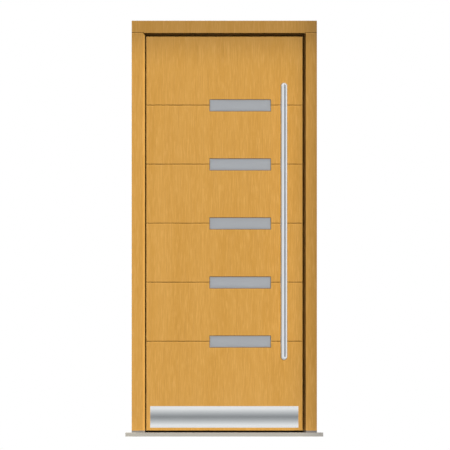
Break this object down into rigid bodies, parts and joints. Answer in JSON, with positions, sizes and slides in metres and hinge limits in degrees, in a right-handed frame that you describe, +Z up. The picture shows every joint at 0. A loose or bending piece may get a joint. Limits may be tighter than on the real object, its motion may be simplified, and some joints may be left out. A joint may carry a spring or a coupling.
{
  "type": "front door",
  "caption": "Timber front door in its splayed frame: grooved leaf with slot windows, long pull bar, kick plate, threshold, hinges, lock and inside lever.",
  "frame": {"origin": "middle of the threshold's underside, half way through the depth of the frame", "axes": "+X to the right seen from outside, +Y into the house, +Z up"},
  "size_m": [1.068, 0.2219, 2.245],
  "materials": {
    "frame_timber": "stained and lacquered, straight grain, satin",
    "leaf_timber": "stained and lacquered veneer, straight grain, satin",
    "core_timber": "raw laminated timber",
    "satin_glass": "satin grey",
    "clear_glass": "clear",
    "seal_rubber": "matt black",
    "joint_sealant": "matt grey",
    "sill_metal": "satin anodised",
    "sill_plastic": "matt",
    "foot_plastic": "matt",
    "spacer_plastic": "matt",
    "lock_steel": "zinc plated",
    "screw_steel": "plain",
    "cylinder_metal": "nickel plated",
    "kick_steel": "brushed along its length",
    "stainless": "fine brushed"
  },
  "bodies": {
    "frame": {"hinge_jamb": "frame_timber", "lock_jamb": "frame_timber", "head": "frame_timber", "jamb_feet": "foot_plastic", "sill_nose": "sill_metal", "sill_core": "sill_plastic", "sill_rail": "sill_metal", "frame_seal": "seal_rubber", "strike_plates": "lock_steel", "frame_screws": "screw_steel", "frame_hinge_1": "stainless", "frame_hinge_2": "stainless", "frame_hinge_3": "stainless", "hinge_pin_1": "stainless", "hinge_pin_2": "stainless", "hinge_pin_3": "stainless"},
    "leaf": {"outer_skin": "leaf_timber", "inner_skin": "leaf_timber", "hinge_stile": "leaf_timber", "lock_stile": "leaf_timber", "top_rail": "leaf_timber", "bottom_rail": "leaf_timber", "core": "core_timber", "outer_pane_1": "satin_glass", "outer_pane_2": "satin_glass", "outer_pane_3": "satin_glass", "outer_pane_4": "satin_glass", "outer_pane_5": "satin_glass", "inner_pane_1": "clear_glass", "inner_pane_2": "clear_glass", "inner_pane_3": "clear_glass", "inner_pane_4": "clear_glass", "inner_pane_5": "clear_glass", "beads_1": "leaf_timber", "beads_2": "leaf_timber", "beads_3": "leaf_timber", "beads_4": "leaf_timber", "beads_5": "leaf_timber", "pane_joints": "joint_sealant", "spacers": "spacer_plastic", "kick_plate": "kick_steel", "pull_bar": "stainless", "bar_caps": "stainless", "bar_posts": "stainless", "leaf_hinge_1": "stainless", "leaf_hinge_2": "stainless", "leaf_hinge_3": "stainless", "faceplate": "lock_steel", "lock_cases": "lock_steel", "leaf_screws": "screw_steel", "lever_rose": "stainless", "turn_rose": "stainless", "cylinder": "cylinder_metal", "bottom_seal": "seal_rubber"},
    "lever": {"lever": "stainless", "spindle": "stainless"},
    "latch": {"latch": "lock_steel"},
    "thumb_turn": {"thumb_turn": "stainless"},
    "deadbolts": {"deadbolts": "lock_steel"}
  },
  "joints": [
    {"name": "leaf_swing", "type": "hinge", "parent": "frame", "child": "leaf", "pos_m": [-0.438, 0.055, 1.1], "axis": [0, 0, 1], "range_deg": [0, 100]},
    {"name": "lever_turn", "type": "hinge", "parent": "leaf", "child": "lever", "pos_m": [0.371, 0.055, 1.05], "axis": [0, -1, 0], "range_deg": [0, 35], "stiffness_Nm_per_rad": 3, "springref_deg": -11.46},
    {"name": "latch_slide", "type": "slide", "parent": "leaf", "child": "latch", "axis": [-1, 0, 0], "range_m": [0, 0.012]},
    {"name": "thumb_turn_spin", "type": "hinge", "parent": "leaf", "child": "thumb_turn", "pos_m": [0.371, 0.055, 0.958], "axis": [0, 1, 0], "range_deg": [0, 360]},
    {"name": "deadbolt_throw", "type": "slide", "parent": "leaf", "child": "deadbolts", "axis": [1, 0, 0], "range_m": [0, 0.02]}
  ],
  "couplings": [
    {"joint": "latch_slide", "follows": "lever_turn", "m_per_rad": 0.019644},
    {"joint": "thumb_turn_spin", "follows": "deadbolt_throw", "rad_per_m": 314.16}
  ]
}
